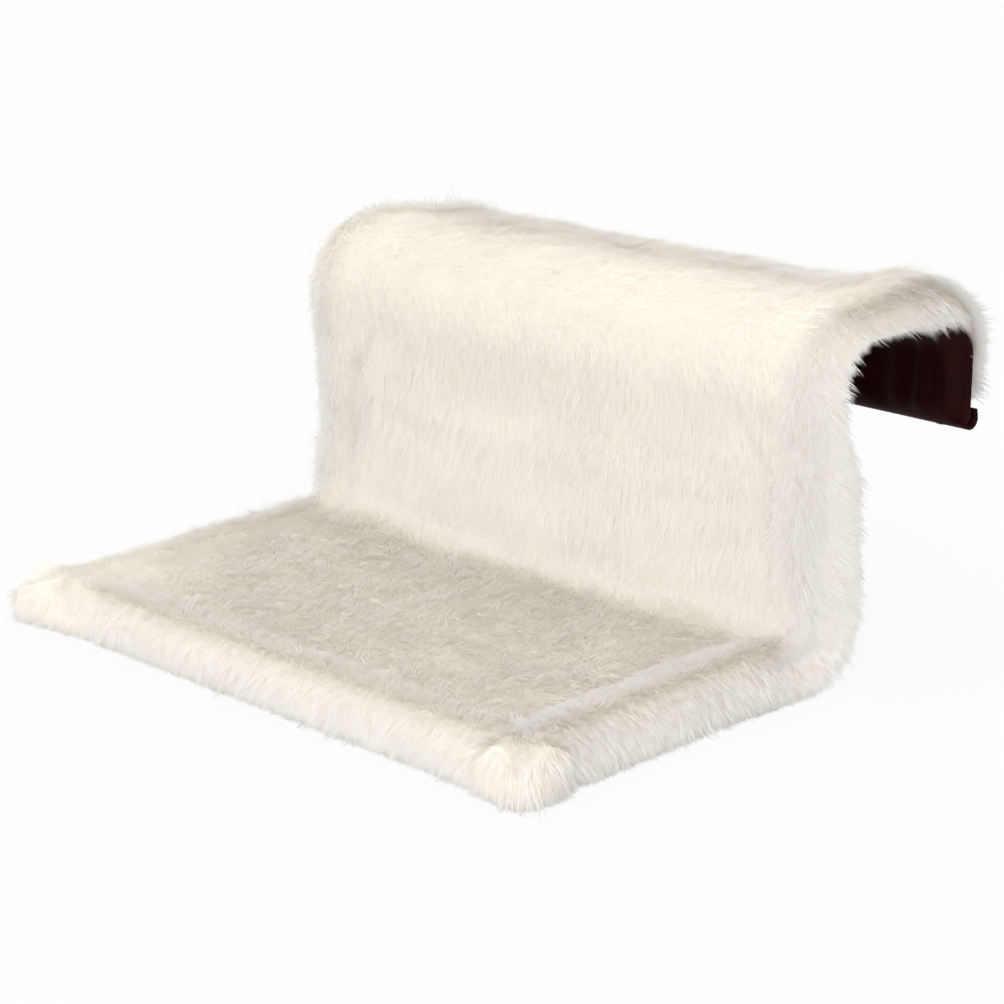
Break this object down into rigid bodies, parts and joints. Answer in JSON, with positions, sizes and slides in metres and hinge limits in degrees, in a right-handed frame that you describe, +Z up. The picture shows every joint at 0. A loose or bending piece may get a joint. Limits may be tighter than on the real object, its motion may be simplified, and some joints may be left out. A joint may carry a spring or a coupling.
{
  "type": "radiator cat bed",
  "caption": "Plush-covered pet bed on a bent tube frame, with a padded seat, a back and an adjustable hook that hangs it over a radiator.",
  "frame": {"origin": "middle of the flat lining under the top, where the bed rests on the radiator's upper edge", "axes": "+X along the width, to the right as seen from the front; +Y from the seat towards the radiator; +Z up"},
  "size_m": [0.48, 0.4473, 0.245],
  "materials": {
    "frame_tube": "light grey powder coat on steel tube",
    "zinc_fasteners": "bright zinc plate",
    "black_plastic": "moulded, matt",
    "cream_plush": "long soft pile",
    "red_brown_lining": "smooth woven lining with a slight sheen",
    "foam": "closed-cell foam",
    "wadding": "loose polyester wadding",
    "closure_tape": "hook-and-loop tape"
  },
  "bodies": {
    "bed": {"side_rail_left": "frame_tube", "side_rail_right": "frame_tube", "front_cross_bar": "frame_tube", "crease_cross_bar": "frame_tube", "top_cross_bar": "frame_tube", "bar_bolt_front_left": "zinc_fasteners", "bar_bolt_front_right": "zinc_fasteners", "bar_bolt_crease_left": "zinc_fasteners", "bar_bolt_crease_right": "zinc_fasteners", "bar_bolt_top_left": "zinc_fasteners", "bar_bolt_top_right": "zinc_fasteners", "bar_insert_front_left": "zinc_fasteners", "bar_insert_front_right": "zinc_fasteners", "bar_insert_crease_left": "zinc_fasteners", "bar_insert_crease_right": "zinc_fasteners", "bar_insert_top_left": "zinc_fasteners", "bar_insert_top_right": "zinc_fasteners", "clamp_nut_left": "zinc_fasteners", "clamp_nut_right": "zinc_fasteners", "rail_end_plug_left": "black_plastic", "rail_end_plug_right": "black_plastic", "plush_seat": "cream_plush", "plush_back": "cream_plush", "plush_top": "cream_plush", "lining_seat": "red_brown_lining", "lining_back": "red_brown_lining", "lining_top": "red_brown_lining", "seat_foam_left": "foam", "seat_foam_right": "foam", "seat_foam_front": "foam", "back_foam_left": "foam", "back_foam_right": "foam", "seat_wadding": "wadding", "back_wadding": "wadding", "top_wadding": "wadding", "closure_hook_strip": "closure_tape", "closure_loop_strip": "closure_tape"},
    "hook": {"hook_leg_left": "frame_tube", "hook_leg_right": "frame_tube", "hook_cross_bar": "frame_tube", "bar_bolt_hook_left": "zinc_fasteners", "bar_bolt_hook_right": "zinc_fasteners", "bar_insert_hook_left": "zinc_fasteners", "bar_insert_hook_right": "zinc_fasteners", "leg_end_plug_left": "black_plastic", "leg_end_plug_right": "black_plastic", "plush_hook": "cream_plush", "lining_hook": "red_brown_lining", "hook_wadding": "wadding"},
    "left_thumb_screw": {"thumb_screw_left": "zinc_fasteners", "thumb_knob_left": "black_plastic"},
    "right_thumb_screw": {"thumb_screw_right": "zinc_fasteners", "thumb_knob_right": "black_plastic"}
  },
  "joints": [
    {"name": "hook_slide", "type": "slide", "parent": "bed", "child": "hook", "axis": [0, 1, 0], "range_m": [0, 0.027]},
    {"name": "left_thumb_turn", "type": "hinge", "parent": "bed", "child": "left_thumb_screw", "pos_m": [-0.2, 0.0015, 0.0085], "axis": [1, 0, 0], "range_deg": [0, 360]},
    {"name": "right_thumb_turn", "type": "hinge", "parent": "bed", "child": "right_thumb_screw", "pos_m": [0.2, 0.0015, 0.0085], "axis": [1, 0, 0], "range_deg": [0, 360]}
  ]
}
